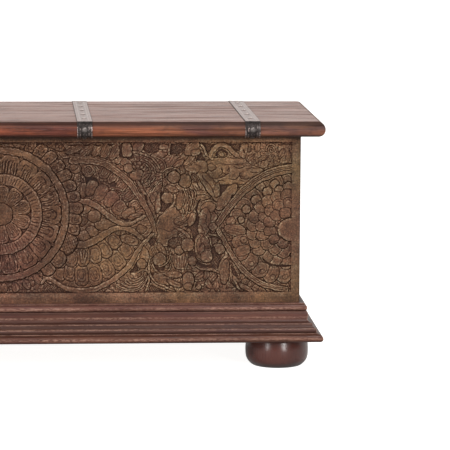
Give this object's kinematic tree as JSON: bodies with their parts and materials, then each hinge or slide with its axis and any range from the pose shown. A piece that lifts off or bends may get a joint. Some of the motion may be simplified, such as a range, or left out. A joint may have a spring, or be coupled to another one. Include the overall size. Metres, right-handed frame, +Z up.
{
  "type": "carved storage chest",
  "caption": "Long low carved wooden storage chest: plank lid bound in nailed metal straps and hinged at the back, moulded plinth, turned bun feet.",
  "frame": {"origin": "on the floor, under the middle of the chest (centre of the feet's footprint)", "axes": "+X along the chest's length, to the right seen from the carved front; +Y from the carved front towards the hinged back; +Z up"},
  "size_m": [1.15, 0.4174, 0.4537],
  "materials": {
    "carved_wood": "old carved hardwood, matt brown with darker hollows and paler worn crests",
    "lid_wood": "old hardwood planks, waxed, with red-brown edges and a paler worn top",
    "moulding_wood": "waxed red-brown hardwood mouldings with worn edges",
    "turned_wood": "turned hardwood, dark red-brown, waxed to a gloss",
    "case_wood": "plain old hardwood boards, satin outside and unfinished inside",
    "dowel_wood": "pale turned dowel, unfinished",
    "strap_metal": "embossed iron band, dark with rubbed grey raised edges",
    "nail_metal": "hand-made dome-headed iron nail",
    "hinge_metal": "dark wrought butt hinge",
    "steel": "plain steel, dulled"
  },
  "bodies": {
    "case": {"front_panel": "carved_wood", "back_panel": "case_wood", "side_panel_left": "case_wood", "side_panel_right": "case_wood", "bottom_board": "case_wood", "corner_post_front_left": "case_wood", "corner_post_front_right": "case_wood", "corner_post_back_left": "case_wood", "corner_post_back_right": "case_wood", "post_screws": "steel", "plinth_front": "moulding_wood", "plinth_back": "moulding_wood", "plinth_left": "moulding_wood", "plinth_right": "moulding_wood", "base_moulding_front": "moulding_wood", "base_moulding_back": "moulding_wood", "base_moulding_left": "moulding_wood", "base_moulding_right": "moulding_wood", "bead_moulding_front": "moulding_wood", "bead_moulding_back": "moulding_wood", "bead_moulding_left": "moulding_wood", "bead_moulding_right": "moulding_wood", "foot_front_left": "turned_wood", "foot_front_right": "turned_wood", "foot_back_left": "turned_wood", "foot_back_right": "turned_wood", "foot_bolts": "dowel_wood", "hinge_case_leaf_left": "hinge_metal", "hinge_case_leaf_centre": "hinge_metal", "hinge_case_leaf_right": "hinge_metal", "hinge_pin_left": "steel", "hinge_pin_centre": "steel", "hinge_pin_right": "steel", "hinge_case_screws": "steel"},
    "lid": {"lid_board_front": "lid_wood", "lid_board_middle": "lid_wood", "lid_board_back": "lid_wood", "lid_cleat_left": "case_wood", "lid_cleat_right": "case_wood", "cleat_screws": "steel", "strap_outer_left": "strap_metal", "strap_inner_left": "strap_metal", "strap_inner_right": "strap_metal", "strap_outer_right": "strap_metal", "strap_nails_outer_left": "nail_metal", "strap_nails_inner_left": "nail_metal", "strap_nails_inner_right": "nail_metal", "strap_nails_outer_right": "nail_metal", "hinge_lid_leaf_left": "hinge_metal", "hinge_lid_leaf_centre": "hinge_metal", "hinge_lid_leaf_right": "hinge_metal", "hinge_lid_screws": "steel"}
  },
  "joints": [
    {"name": "lid_hinge", "type": "hinge", "parent": "case", "child": "lid", "pos_m": [0, 0.1699, 0.4171], "axis": [-1, 0, 0], "range_deg": [0, 100]}
  ]
}
